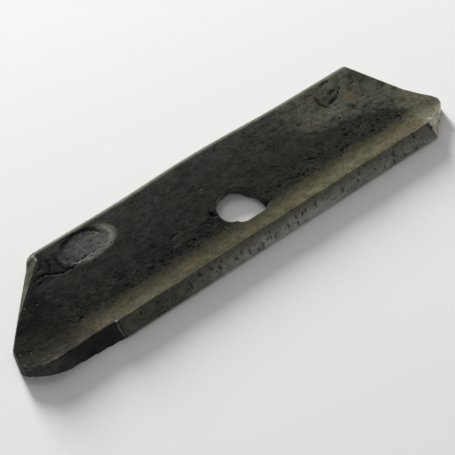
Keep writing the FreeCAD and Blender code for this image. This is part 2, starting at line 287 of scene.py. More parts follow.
BACK_PITS = (
    (57.6, 22.2, 0.8, 0.45), (74.6, 14.4, 0.9, 0.35), (77.4, 13.1, 0.9, 0.4),
    (98.6, 14.9, 0.9, 0.35), (111.0, 16.6, 0.9, 0.35), (99.0, 27.0, 1.0, 0.2),
    (32.9, 34.8, 0.8, 0.15), (88.4, 15.4, 0.7, 0.2), (-75.7, 22.1, 1.1, 0.4),
    (-83.7, 25.4, 1.0, 0.4), (-74.1, 20.3, 0.9, 0.4), (-125.5, 7.4, 0.6, 0.2),
    (-77.4, 21.4, 0.8, 0.4), (-81.0, 21.6, 0.8, 0.4), (-84.5, 22.4, 0.8, 0.4),
    (-71.2, 21.5, 0.7, 0.4), (-68.6, 33.0, 0.7, 0.4), (-64.6, 30.2, 0.8, 0.4),
    (-66.6, 24.0, 0.6, 0.3),
)
# Small pits spread over the upper face, and the seed of their places
SPREAD_PITS = 110
SPREAD_SEED = 41
# Bright specks of the upper face: along, across and size
FACE_SPECKS = (
    (75.5, 19.0, 0.7), (78.6, 14.0, 0.6), (-134.2, -4.6, 0.5), (-117.0, 14.7, 0.45),
)

# Marks on the bevel: along the blade, up the slope from the cutting edge, size and depth
BEVEL_PITS = (
    (-68.2, 5.8, 0.8, 0.3), (-43.6, 6.2, 0.7, 0.35), (-42.2, 6.1, 0.6, 0.3),
    (-36.0, 5.3, 0.7, 0.35), (-31.8, 3.6, 0.8, 0.45), (-29.6, 5.8, 0.6, 0.3),
    (-22.0, 3.2, 0.8, 0.4), (-18.4, 4.4, 0.7, 0.4), (-14.0, 2.8, 0.8, 0.45),
    (-9.2, 0.6, 0.8, 0.35), (-6.0, 2.0, 0.7, 0.35), (-2.8, 2.7, 0.6, 0.4),
    (-0.8, 2.7, 0.6, 0.4), (1.8, 2.2, 0.7, 0.35), (-0.3, 5.2, 0.5, 0.25),
    (10.5, 2.9, 0.8, 0.4), (16.5, 4.2, 0.7, 0.35), (16.0, 1.5, 0.8, 0.4),
    (46.5, 3.5, 0.8, 0.3), (56.5, 3.0, 0.7, 0.2), (58.6, 5.5, 0.7, 0.2),
    (68.0, 3.2, 0.7, 0.2), (81.4, 4.6, 0.9, 0.4), (87.2, 1.2, 0.9, 0.3),
    (73.6, 1.4, 0.7, 0.25), (80.0, 1.5, 0.7, 0.2), (-52.4, 2.6, 0.6, 0.3),
    (95.0, 0.7, 0.8, 0.25),
)
# Slots: along, up the slope, half length, depth and turn in degrees
BEVEL_SLOTS = (
    (-49.2, 3.9, 1.7, 0.35, 100), (20.2, 4.0, 1.8, 0.3, 35), (22.6, 4.7, 1.2, 0.25, 50),
    (29.2, 4.8, 1.5, 0.3, 75), (96.8, 6.2, 1.4, 0.5, 115), (-78.0, 5.9, 1.3, 0.25, 95),
)
SLOT_HALF_WIDTH = 0.6
# Raised light spots: along, up the slope and size
BEVEL_SPOTS = (
    (-48.6, 1.2, 1.3), (-52.6, 2.0, 1.2), (-30.2, 3.2, 1.3), (-20.8, 2.4, 1.2),
    (-8.4, 1.6, 1.1), (8.0, 2.4, 1.4), (26.0, 3.0, 1.4), (36.5, 2.2, 1.5),
)

# Cracks: width, depth and darkness, then the points of the line seen from above
# The toe side's seat: the first two lines are shallow grooves darkened as painted shade under its
# far wall; the third darkens its outline on the toe side
SEAT_DARK_LINES = (
    (0.5, 0.2, 0.6, (-84.5, 35.0), (-80, 35.8), (-76, 35.9), (-69, 35.3), (-65.6, 33.6),
     (-63.0, 31.0), (-61.6, 28.6)),
    (0.75, 0.2, 0.6, (-67.5, 34.9), (-64.5, 34.1), (-62.8, 32.4), (-61.9, 30.0), (-61.4, 27.6)),
    (0.5, 0.06, 0.25, (-87.6, 29.0), (-88.4, 26.0), (-86.6, 22.6), (-82.0, 19.9)),
)
CORNER_CRACKS = (
    (0.65, 0.36, 1.0, (-107.5, 23.0), (-104, 24.3), (-100, 24.6), (-97, 24.3), (-95, 22.9),
     (-92, 21.2), (-89.5, 20.1), (-86.5, 20.8), (-85, 19.6), (-81.8, 20.6), (-78.0, 19.4)),
    (0.75, 0.4, 1.0, (-91.6, 31.6), (-92.2, 29.5), (-92.9, 27.5), (-93.4, 25.2), (-95.5, 24.0)),
    (0.7, 0.35, 1.0, (-88.0, 29.5), (-88.9, 26.5), (-88.8, 22.5), (-88.0, 20.6)),
    (0.6, 0.25, 0.8, (-99.5, 27.8), (-97.0, 28.6), (-95.6, 31.0)),
    (0.5, 0.12, 0.6, (-104.0, 21.4), (-99.5, 22.2), (-96.4, 21.6)),
)
CORNER_FOLDS = (
    ((-97.4, 31.2), (-98.2, 27.6), (-97.2, 25.6)), ((-94.2, 29.8), (-95.4, 26.4)),
    ((-90.2, 30.8), (-91.0, 26.6), (-90.6, 22.4)), ((-86.6, 27.6), (-86.8, 23.2)),
    ((-101.5, 26.8), (-99.8, 26.2)),
)
SCAB_CRACKS = (
    (0.8, 0.45, 1.0, (77.6, 31.0), (76.6, 28.4), (76.1, 25.8), (77.0, 23.6), (78.6, 21.8)),
    (0.7, 0.3, 0.8, (79.6, 23.2), (82.5, 23.6), (85.6, 24.4), (87.6, 25.8)),
    (0.8, 0.2, 0.6, (84.0, 28.6), (87.5, 28.4), (89.5, 29.6)),
)
HEEL_SEAT_CRACKS = (
    (0.6, 0.12, 0.3, (66.5, 32.8), (61.5, 27.4), (57.8, 22.6)),
    (0.8, 0.2, 0.9, (84.0, 34.8), (87.5, 35.5), (91.0, 35.4)),
)
HEEL_SEAT_RIM = ((56.8, 25.0), (54.9, 20.8), (56.4, 17.0), (60.0, 15.2), (66.0, 14.2))
FACE_CRACKS = (
    (0.6, 0.3, 0.7, (-39.6, 4.4), (-37.6, 5.6), (-35.2, 5.8)),
    (0.6, 0.3, 0.8, (-48.6, 8.4), (-48.4, 5.8), (-48.2, 4.0)),
    (0.6, 0.25, 0.8, (44.0, 3.0), (47.4, 1.6), (50.2, -0.2)),
    (0.5, 0.15, 0.4, (27.0, 10.6), (29.0, 9.4), (30.2, 8.0)),
    (0.9, 0.12, 0.75, (-127.5, 7.6), (-120.0, 13.6), (-108.0, 23.0), (-97.0, 32.0)),
)

# The hole's wall moves out by a reach, round an angle in degrees and over some degrees
HEEL_SIDE_CORNER = -30
TOE_SIDE_CORNER = -140
LOWER_RIM_BULGES = ((73, 13, 0.9), (31, 16, -1.1), (-12, 14, 0.5))
CORNER_BULGES = ((HEEL_SIDE_CORNER, 13, 1.6), (TOE_SIDE_CORNER, 17, -2.5))

# The toe side's seat: centre, half length, half width and turn in degrees, and its depth on
# the back edge's side, which lessens by the slant towards the hole
SEAT_X = -72.4
SEAT_Y = 27.0
SEAT_HALVES = (15.9, 8.6)
SEAT_TURN = 2.0
SEAT_DEPTH = 0.62
SEAT_SLANT = 0.3

# Where the paler back of the heel starts across the blade, at places along it
PALE_ALONG = (45, 55, 75, 90, 100, 105, 110, 118)
PALE_ACROSS = (30, 15, 11, 8.5, 5, -1, -4, -7)


def up_the_bevel(slope):
    """Where a length up the bevel, from the cutting edge, lies across the blade."""
    return FRONT + BEVEL_RUN * slope / BEVEL_SLOPE


def break_out_hole(skin):
    """Let the hole's lower rim run unevenly, as a punch leaves it, and its front corners unlike."""
    radius = np.hypot(skin.x, skin.y)
    angle = np.degrees(np.arctan2(skin.y, skin.x))
    outward = np.zeros(len(radius))
    for turn, width, reach in LOWER_RIM_BULGES:
        outward += reach * np.exp(-((angle - turn) / width) ** 2)
    outward = outward * smooth_step(skin.z, 3.7, 0.4)
    for turn, width, reach in CORNER_BULGES:
        outward += reach * np.exp(-((angle - turn) / width) ** 2)
    near = smooth_step(radius, HOLE_RADIUS + 3.6, HOLE_RADIUS + 0.3)
    at_rim = smooth_step(radius, HOLE_RADIUS + 2.4, HOLE_RADIUS + 1.4) * (skin.z > 1.0)
    skin.mark("dark", 0.3 * at_rim * np.exp(-((angle - HEEL_SIDE_CORNER) / 22) ** 4))
    share = outward * near / np.maximum(radius, 1.0)
    skin.points[:, 0] += skin.x * share
    skin.points[:, 1] += skin.y * share


def fill_back_corner(skin):
    """Leave the back corner of the cropped end fuller above the underside."""
    near = smooth_step(skin.y, 33.5, 38.0) * smooth_step(skin.x, -84.0, -91.0)
    skin.points[:, 0] -= near * (0.4 + 2.5 * smooth_step(skin.z, 0.0, 1.6))


def square_nose(skin):
    """Push the heel's nose out a little, where it is less round than the rest."""
    at_nose = skin.across(124.3, -8.4, length=5.4, width=3.6, turn=-60)
    near = np.exp(-at_nose) * smooth_step(skin.z, 0.5, WEB_TOP)
    skin.points[:, 0] += 1.7 * near
    skin.points[:, 1] -= 0.3 * near


def reshape_toe_seat(skin):
    """Press the toe side's seat: a slanting floor, a steep far wall and a wide lip to the hole.

    Reach is 0 at the seat's centre and 1 at its outline.
    """
    upper = skin.z > 2.5
    reach = np.sqrt(skin.across(SEAT_X, SEAT_Y, *SEAT_HALVES, SEAT_TURN))
    reach = reach + 0.02 * skin.wobble + 0.012 * skin.ragged
    hole_side = (skin.x - SEAT_X) * 0.55 - (skin.y - SEAT_Y) * 0.85
    towards_hole = smooth_step(hole_side, -4.0, 6.0)
    toe_end = smooth_step(skin.x, -79.0, -87.0) * (1 - towards_hole)
    wall_start = 0.90 - 0.36 * towards_hole - 0.3 * toe_end
    floor_depth = SEAT_DEPTH - SEAT_SLANT * smooth_step(hole_side, -12.0, 12.0)
    depth = floor_depth * (1 - smooth_step(reach, wall_start, 1.0))
    depth = depth - 0.05 * np.exp(-((reach - 1.06) / 0.05) ** 2) * towards_hole
    inside = smooth_step(reach, 1.3, 1.15) * smooth_step(skin.y, BACK - 2.4, BACK - 3.6) * upper
    pressed = WEB_TOP - depth
    skin.points[:, 2] = np.where(inside > 0, skin.z + (pressed - skin.z) * inside, skin.z)
    skin.mark("seat", smooth_step(reach + 0.05 * skin.wobble, 1.0, 0.9) * upper)

    # The lip on the hole's side, lightest at its far end, is a painted highlight where it faces the
    # light
    lip = np.exp(-((reach - 0.93) / 0.08) ** 2) + 0.7 * np.exp(-((reach - 1.04) / 0.07) ** 2)
    speckle = smooth_step(skin.ragged + 0.6 * skin.wobble, -0.45, 0.4)
    far_side = smooth_step(skin.x, -68.0, -59.0)
    bright = (0.03 + 0.05 * speckle + 0.24 * far_side) * lip * towards_hole * upper
    skin.mark("bright", bright)
    # Painted shade along the seat's far wall, and a darker outline on its toe side
    skin.cracks(SEAT_DARK_LINES, where=upper)


def wrinkle_back_corner(skin):
    """Cracks and folds between the toe side's seat and the cropped end."""
    skin.cracks(CORNER_CRACKS)
    # The folds' tops are lightened: painted highlight
    for fold in CORNER_FOLDS:
        skin.ridge(fold, 0.8, 0.13, "worn", 0.14, broken=0.5)
    wrinkled = skin.across(-96.0, 27.0, length=11.0, width=6.5, turn=15)
    shade = np.clip(1.3 - wrinkled, 0, 1) * (skin.z > 2.0)
    skin.mark("dark", shade * (0.4 + 0.4 * smooth_step(skin.ragged, -0.1, 0.3)))
    skin.height += 0.07 * shade * noise_over(skin.points, 1.1, seed=31)
    # A burr at the back corner: bare metal, lightened further as a painted glint
    skin.ridge(((-95.4, 33.6), (-94.9, 36.9)), 0.5, 0.2, "bright", 0.6, broken=0.2)


def mark_heel_seat(skin):
    """The fainter seat on the heel side, with a half-lifted scab in it."""
    skin.cracks(SCAB_CRACKS)
    skin.pit(81.5, 27.0, 4.2, -0.28, stretch=1.15, dark=0)
    scab = skin.across(82.0, 27.0, length=6.0, width=4.6, turn=10) * (1 + 0.6 * skin.ragged)
    skin.mark("scab", np.clip(1.3 - scab, 0, 1))
    skin.pit(89.1, 26.6, 0.6, 0.35, stretch=2.2, turn=50, dark=0.95)
    skin.pit(91.3, 28.0, 0.55, 0.3, stretch=2.0, turn=40, dark=0.9)
    skin.ridge(HEEL_SEAT_RIM, 0.9, 0.05, "worn", 0.28, broken=0.5)
    skin.cracks(HEEL_SEAT_CRACKS)
    pale_from = np.interp(skin.x, PALE_ALONG, PALE_ACROSS)
    pale = smooth_step(skin.y - pale_from + 3.0 * skin.wobble, -2.5, 2.5)
    skin.mark("pale", pale * smooth_step(skin.x + 6 * skin.wobble, 46.0, 66.0) * skin.top())
    shaded = skin.across(104.0, 29.5, length=4.6, width=5.6, turn=30) * (1 + 0.8 * skin.ragged)
    skin.mark("dark", 0.5 * np.clip(1.2 - shaded, 0, 1))


def pepper_strip(skin):
    """Ragged pits that crowd along the foot of the rise and thin out towards the back."""
    top = skin.top()
    ends = smooth_step(skin.x, -126.0, -104.0) * smooth_step(skin.x, 112.0, 100.0)
    foot = smooth_step(skin.y, RISE_FOOT - 4.2, RISE_FOOT - 0.6)
    foot = foot * smooth_step(skin.y, 13.0, RISE_FOOT + 3.5)
    crowds = smooth_step(noise_over(skin.points, 8.0, seed=4, octaves=2) + 0.3 * foot, -0.1, 0.5)
    deep = noise_over(skin.points * (0.7, 1.0, 1.0), 1.15, seed=3)
    small = noise_over(skin.points * (0.8, 1.0, 1.0), 0.8, seed=6, octaves=2)
    hollow = smooth_step(deep, 0.16, 0.5) * (0.25 + 0.75 * crowds) * foot * ends * top
    specks = smooth_step(small, 0.3, 0.6) * top * (0.3 + 0.7 * foot) * (0.4 + 0.6 * crowds)
    skin.height -= 0.14 * hollow + 0.05 * specks
    skin.mark("dark", np.maximum(0.85 * hollow, 0.5 * specks))
    skin.mark("worn", 0.2 * smooth_step(-deep, 0.25, 0.6) * crowds * foot * ends * top)


def work_upper_face(skin):
    """Pits, cracks, scale and waves of the upper face."""
    top = skin.top()
    pepper_strip(skin)
    for x, y, size, depth in STRIP_PITS + BACK_PITS:
        turn = 37 * math.sin(x * 3 + y)
        skin.pit(x, y, 0.75 * size, 0.45 * depth, stretch=1.5, turn=turn, dark=0.9, where=top)
    spread = random.Random(SPREAD_SEED)
    for _ in range(SPREAD_PITS):
        x = spread.uniform(TOE + 12, HEEL - 16)
        y = spread.uniform(RISE_FOOT - 2, BACK - 4)
        size = spread.uniform(0.35, 0.8)
        stretch = spread.uniform(1.0, 2.6)
        turn = spread.uniform(-30, 60)
        skin.pit(x, y, size, 0.15 * size, stretch=stretch, turn=turn, dark=0.45, where=top)
    skin.height += top * 0.03 * noise_over(skin.points, 1.7, seed=13)
    skin.height += top * 0.12 * noise_over(skin.points, 14.0, seed=5, octaves=2)
    skin.cracks(FACE_CRACKS)
    skin.pit(-13.9, 4.4, 1.3, 0.5, stretch=2.0, turn=-70, dark=1.0)
    skin.pit(11.8, -5.9, 1.3, 0.12, stretch=1.4, turn=-15, dark=0.7)
    skin.pit(82.6, 4.6, 0.7, -0.2, stretch=1.7, turn=25, dark=0)
    for x, y, size in FACE_SPECKS:
        speck = np.clip(1 - skin.across(x, y, size * 1.3, size, 30), 0, 1)
        skin.mark("bright", 0.35 * speck)


def work_bevel(skin):
    """Pits, slots and ripples of the bevel."""
    front = skin.marks["bevel"]
    for x, slope, size, depth in BEVEL_PITS:
        turn = 50 * math.sin(x)
        skin.pit(x, up_the_bevel(slope), 1.35 * size, depth, stretch=1.1, turn=turn, dark=0.65,
                 where=front)
        # A painted highlight on each pit's lower lip
        lower_rim = up_the_bevel(slope - 1.3 * size)
        lip = np.clip(1 - skin.across(x - 0.4, lower_rim, size, 0.5 * size, 0), 0, 1)
        skin.mark("bright", 0.22 * front * lip)
    for x, slope, half_length, depth, turn in BEVEL_SLOTS:
        skin.pit(x, up_the_bevel(slope), SLOT_HALF_WIDTH, depth,
                 stretch=half_length / SLOT_HALF_WIDTH, turn=turn, dark=0.8, where=front)
    for x, slope, size in BEVEL_SPOTS:
        reach = skin.across(x, up_the_bevel(slope), size * 1.3, 0.8 * size, 20)
        spot = np.clip(1 - reach * (1 + skin.ragged), 0, 1)
        skin.height += 0.2 * front * spot
        skin.mark("bright", 0.3 * front * spot)
    ring = np.sqrt(skin.across(72.4, up_the_bevel(5.6), 1.9, 1.5, 0))
    skin.height += 0.12 * front * np.exp(-((ring - 1) / 0.25) ** 2)
    grit = noise_over(skin.points, 1.3, seed=23)
    waves = noise_over(skin.points, 9.0, seed=9, octaves=2)
    skin.height += front * (0.06 * grit + 0.08 * waves)
    dark = smooth_step(grit, 0.25, 0.6) * smooth_step(skin.wobble, -0.3, 0.3)
    skin.mark("dark", 0.5 * front * dark)
    mitre = ((107.2, CREST + 0.2), (108.4, CREST - 3.2), (109.5, FRONT + 0.2))
    skin.crack(mitre, 0.8, 0.1, dark=0.8, taper=False, where=front)


def work_crest(skin):
    """Waves of the crest, and the burrs at its two ends."""
    near_crest = np.exp(-((skin.y - CREST) / 2.2) ** 2) * (skin.z > CREST_TOP - 2.5)
    waves = noise_over(skin.points, 13.0, seed=12, octaves=2)
    skin.height -= near_crest * 0.22 * (1 + waves) * 0.5
    burr = ((BEVEL_END - 1.1, CREST + 0.3), (BEVEL_END - 1.4, CREST - 2.2),
            (BEVEL_END - 0.7, FRONT + 0.3))
    # The burrs and the knob are lightened as bare metal with painted glints; the burr at the heel's
    # front corner is all painted glint
    skin.ridge(burr, 0.42, 0.15, "bright", 0.6, broken=0.6)
    knob = np.clip(1 - skin.across(BEVEL_END - 0.9, CREST + 0.4, 1.0, 0.7, 20), 0, 1)
    skin.height += 0.12 * knob
    skin.mark("bright", 0.7 * knob)
    skin.ridge(((109.9, -18.2), (111.0, -16.9)), 1.1, 0.45, "bright", 1.0, broken=0.15)
    skin.pit(108.9, -19.8, 0.9, 0.3, dark=1.0)


def work_toe_cut(skin):
    """Waves of the toe's steep wall, and glints along its upper rim."""
    waves = noise_over(skin.points, 6.0, seed=15, octaves=2)
    grain = noise_over(skin.points, 1.8, seed=16)
    skin.height += skin.marks["toe_cut"] * (0.10 * waves + 0.05 * grain)
    upper_rim = ((-136.9, -9.2), (-135.4, -12.6), (-132.0, -15.0), (-126.0, -16.4), (-118.0, -17.2))
    gap, _ = skin.distance_to(upper_rim)
    glint = np.exp(-(gap / 0.45) ** 2) * smooth_step(skin.ragged, 0.05, 0.4) * (skin.z > 4.6)
    skin.mark("bright", 0.16 * glint)


def work_sheared_ends(skin):
    """Streaks of the cropped end, the painted highlights along the back edge and the heel's upper
    edge, and painted light on the heel's front corner.
    """
    drawn_out = np.stack(((skin.x + skin.y) * 0.14, (skin.x - skin.y) * 0.7, skin.z * 0.9), axis=1)
    streaks = noise_over(drawn_out, 1.2, seed=19)
    cropped = skin.marks["cropped"]
    skin.height += cropped * 0.02 * streaks
    skin.mark("sheared", cropped * smooth_step(streaks, -0.35, 0.35))

    facing_x, facing_y, facing_z = skin.normals.T
    # A lighter band on the rounding of the back edge, and on the heel's upper edge: painted
    # highlight
    bulge = 0.5 + 0.5 * np.cos(math.pi * np.clip((skin.x - 4.0) / 60.0, -1, 1))
    back_rim = smooth_step(skin.y - BACK - SPREAD * bulge + 0.25 * skin.ragged, -3.3, -2.4)
    heel_rim = smooth_step(facing_x, 0.12, 0.4) * smooth_step(skin.y, -12.0, -6.0) * (skin.x > 90)
    skin.mark("rim", np.maximum(back_rim, 0.3 * heel_rim) * (facing_z > 0.1))
    # The heel's front corner gets a very pale colour: painted light on a corner the lamps leave in
    # shade
    corner = smooth_step(facing_x, 0.08, 0.3) * smooth_step(skin.x, 107.8, 109.2) * (skin.y < -4)
    corner = corner * smooth_step(facing_y, 0.1, -0.12)
    skin.mark("heel_corner", corner * (facing_z > -0.3))


def forge_share(node):
    """The blade as it comes off the hammer and the shear."""
    piece = even_skin(node)
    skin = Skin(piece)
    sort_walls(skin)
    break_out_hole(skin)
    square_nose(skin)
    fill_back_corner(skin)
    reshape_toe_seat(skin)
    wrinkle_back_corner(skin)
    mark_heel_seat(skin)
    work_upper_face(skin)
    work_bevel(skin)
    work_crest(skin)
    work_toe_cut(skin)
    work_sheared_ends(skin)
    skin.keep()
    thin_underside(piece)
    return piece


# Finishes

class Wire:
    """A socket of a finish: sums, products and the like of wires add Math nodes."""

    def __init__(self, nodes, socket):
        self.nodes = nodes
        self.socket = socket

    def math(self, operation, first, second):
        return self.nodes.add("ShaderNodeMath", {"operation": operation}, {0: first, 1: second})

    def __add__(self, other):
        return self.math("ADD", self, other)

    def __radd__(self, other):
        return self.math("ADD", other, self)

    def __sub__(self, other):
        return self.math("SUBTRACT", self, other)

    def __rsub__(self, other):
        return self.math("SUBTRACT", other, self)

    def __mul__(self, other):
        return self.math("MULTIPLY", self, other)

    def __rmul__(self, other):
        return self.math("MULTIPLY", other, self)

    def __truediv__(self, other):
        return self.math("DIVIDE", self, other)

    def __abs__(self):
        return self.nodes.add("ShaderNodeMath", {"operation": "ABSOLUTE"}, {0: self})


class Nodes:
    """The nodes of one material or of the world."""

    def __init__(self, owner):
        owner.use_nodes = True
        self.tree = owner.node_tree
        self.tree.nodes.clear()

    def add(self, kind, settings=None, sockets=None, output=0):
        """Add a node: its settings first, then the values or wires of its sockets."""
        node = self.tree.nodes.new(kind)
        for name, value in (settings or {}).items():
            if name == "stops":
                self.set_stops(node.color_ramp, value)
            else:
                setattr(node, name, value)
        for name, value in (sockets or {}).items():
            if isinstance(value, Wire):
                self.tree.links.new(value.socket, node.inputs[name])
            else:
                node.inputs[name].default_value = value
        return Wire(self, node.outputs[output]) if len(node.outputs) else node

    @staticmethod
    def set_stops(ramp, stops):
        while len(ramp.elements) < len(stops):
            ramp.elements.new(1.0)
        for element, (place, colour) in zip(ramp.elements, stops):
            element.position = place
            element.color = colour

    def place(self):
        """The point's own coordinates in millimetres, along, across and up."""
        coordinates = self.add("ShaderNodeTexCoord", output=3)
        scaled = self.add("ShaderNodeVectorMath", {"operation": "SCALE"},
                          {0: coordinates, "Scale": 1 / MM})
        split = self.add("ShaderNodeSeparateXYZ", sockets={0: scaled})
        node = split.socket.node
        return scaled, [Wire(self, node.outputs[axis]) for axis in range(3)]

    def noise(self, where, size, detail=3.0, roughness=0.55, stretch=(1, 1, 1), shift=0.0):
        """Noise of 0 to 1 with lumps of about the given size in millimetres."""
        scale = tuple(1 / (size * share) for share in stretch)
        place = (shift, shift * 0.7, shift * 1.3)
        moved = self.add("ShaderNodeMapping", {"vector_type": "POINT"},
                         {"Vector": where, "Scale": scale, "Location": place})
        return self.add("ShaderNodeTexNoise", {}, {"Vector": moved, "Scale": 1.0, "Detail": detail,
                                                   "Roughness": roughness})

    def step(self, value, start, end):
        """0 before start, 1 after end and a soft change between."""
        return self.add("ShaderNodeMapRange", {"interpolation_type": "SMOOTHSTEP"},
                        {"Value": value, "From Min": start, "From Max": end})

    def mark(self, name):
        """A mark that the worked skin carries."""
        return self.add("ShaderNodeAttribute", {"attribute_name": name}, output=2)

    def blend(self, first, second, share):
        """A colour between two others."""
        return self.add("ShaderNodeMix", {"data_type": "RGBA"}, {0: share, 6: first, 7: second},
                        output=2)

    def times(self, colour, share):
        """A colour made darker or lighter by a value."""
        grey = self.add("ShaderNodeCombineXYZ", sockets={0: share, 1: share, 2: share})
        return self.add("ShaderNodeVectorMath", {"operation": "MULTIPLY"}, {0: colour, 1: grey})

    def tint(self, colour, shares, amount):
        """A colour drawn towards a hue, given as shares of red, green and blue."""
        tinted = self.add("ShaderNodeVectorMath", {"operation": "MULTIPLY"}, {0: colour, 1: shares})
        return self.blend(colour, tinted, amount)


def colour(red, green, blue):
    """A colour given as it shows on a screen, 0 to 255."""
    shares = []
    for part in (red, green, blue):
        part = part / 255
        shares.append(part / 12.92 if part <= 0.04045 else ((part + 0.055) / 1.055) ** 2.4)
    return (*shares, 1.0)


def section_share(y):
    """Where a place across the blade lies between the cutting edge, 0, and the back, 1."""
    return (y - FRONT) / (BACK - FRONT)


# The upper face's colours across the blade, at the toe, at the hole and at the heel. They grow
# lighter towards the heel, towards the back and up the rise: partly the scale's wear, partly
# painted light
SECTION_TOE = (
    (CREST, colour(23, 23, 16)), (CREST + 4, colour(27, 26, 19)),
    (CREST + 8, colour(36, 35, 28)), (RISE_FOOT - 1.5, colour(36, 36, 31)),
    (8.0, colour(20, 20, 19)), (BACK - 4, colour(26, 27, 26)),
)
SECTION_MIDDLE = (
    (CREST + 0.4, colour(60, 58, 45)), (CREST + 4, colour(65, 62, 47)),
    (CREST + 7, colour(60, 57, 44)), (CREST + 9.6, colour(54, 51, 40)),
    (RISE_FOOT - 1.0, colour(44, 43, 36)), (RISE_FOOT + 1.5, colour(32, 32, 30)),
    (10.0, colour(38, 39, 36)), (BACK - 4, colour(48, 48, 46)),
)
SECTION_HEEL = (
    (CREST + 0.4, colour(68, 66, 52)), (CREST + 4, colour(83, 80, 62)),
    (CREST + 7, colour(78, 75, 58)), (CREST + 9.6, colour(69, 66, 52)),
    (RISE_FOOT - 1.0, colour(57, 56, 47)), (RISE_FOOT + 1.5, colour(45, 45, 41)),
    (10.0, colour(42, 43, 39)), (BACK - 4, colour(56, 57, 52)),
)
# The finish's other colours, and the shares of red, green and blue that its two hues keep
STEEL = {
    "pale heel": colour(77, 78, 69),
    "nose": colour(94, 92, 79),
    "scab": colour(46, 41, 32),
    # Bevel greys: the bare steel, painted paler than it is to make up for the shade the bevel lies
    # in
    "low bevel, toe": colour(98, 98, 88),
    "low bevel, middle": colour(172, 173, 165),
    "low bevel, heel": colour(148, 148, 139),
    "high bevel, toe": colour(98, 98, 89),
    "high bevel, heel": colour(118, 117, 104),
    "toe cut, tip": colour(82, 83, 79),
    "toe cut, bevel": colour(53, 55, 51),
    "cropped, tip": colour(71, 70, 61),
    "cropped, back": colour(68, 66, 56),
    "back edge": colour(84, 83, 73),
    "heel end": colour(120, 118, 104),
    # Painted light on the heel's front corner
    "lit heel corner": colour(214, 211, 190),
    # The bore's toe side is painted lighter to make up for the shade it lies in
    "bore, toe, lit": colour(130, 128, 116),
    "bore, heel": colour(84, 83, 79),
    "bore, flat": colour(64, 63, 58),
    "underside": colour(58, 57, 52),
    "seat, toe": colour(60, 61, 58),
    "seat, hole": colour(75, 76, 73),
    "rust": colour(104, 82, 58),
    "wisps": colour(84, 84, 74),
    # Painted highlight on the back edge's rounding and the heel's upper edge
    "rim": colour(98, 97, 86),
    "dull glint and burr": colour(168, 168, 156),
    "white glint and burr": colour(250, 248, 240),
    "worn": colour(112, 112, 98),
    "pits": colour(12, 12, 11),
}
WARM = (1.08, 0.98, 0.88)
GREEN = (0.94, 1.02, 0.92)
# Middle of the rust stain
RUST_SPOT = (91.6, 21.6, WEB_TOP)


def section_ramp(nodes, place, section):
    """The upper face's colour across the blade."""
    stops = [(section_share(y), tint) for y, tint in section]
    return nodes.add("ShaderNodeValToRGB", {"stops": stops}, {"Fac": place})


